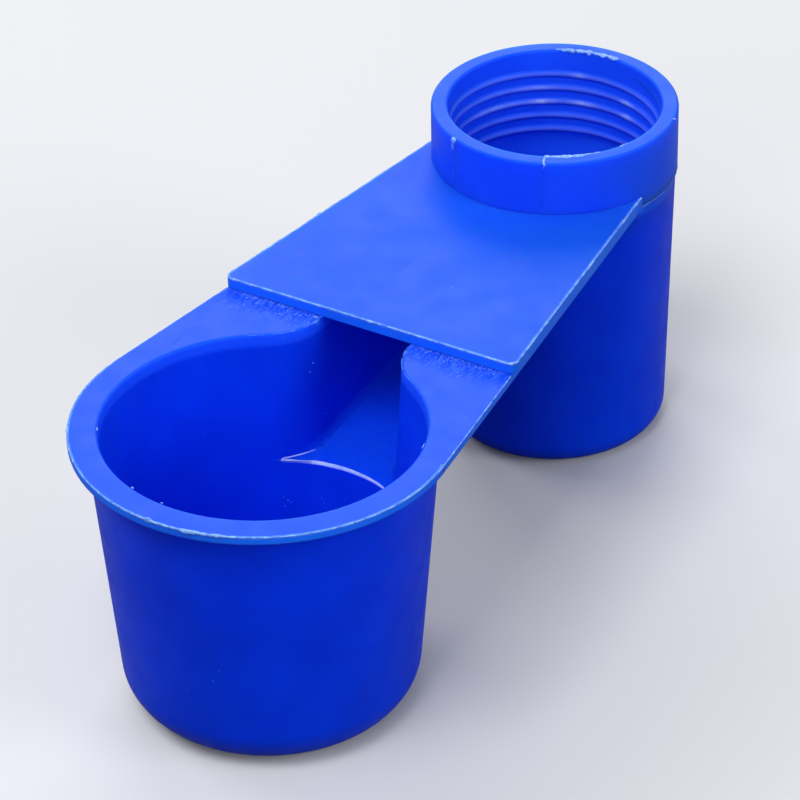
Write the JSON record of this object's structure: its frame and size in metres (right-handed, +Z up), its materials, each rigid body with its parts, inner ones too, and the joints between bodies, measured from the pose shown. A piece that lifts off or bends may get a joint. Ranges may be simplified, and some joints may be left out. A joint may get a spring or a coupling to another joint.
{
  "type": "poultry drinking cup",
  "caption": "Open drinking cup joined by a covered channel to a well with a threaded socket for an inverted water bottle.",
  "frame": {"origin": "on the axis of the socket and well, at the flat base that the part stands on", "axes": "+Z up along the socket axis, out of its rim; -Y from the socket toward the drinking cup; the part is the same on both sides of X = 0"},
  "size_m": [0.0469, 0.1112, 0.0476],
  "materials": {
    "body_plastic": "injection-moulded blue polypropylene, semi-gloss",
    "cover_plastic": "injection-moulded blue polypropylene, semi-gloss"
  },
  "bodies": {
    "root": {"cup_body": "body_plastic", "socket_cover": "cover_plastic"}
  },
  "joints": []
}
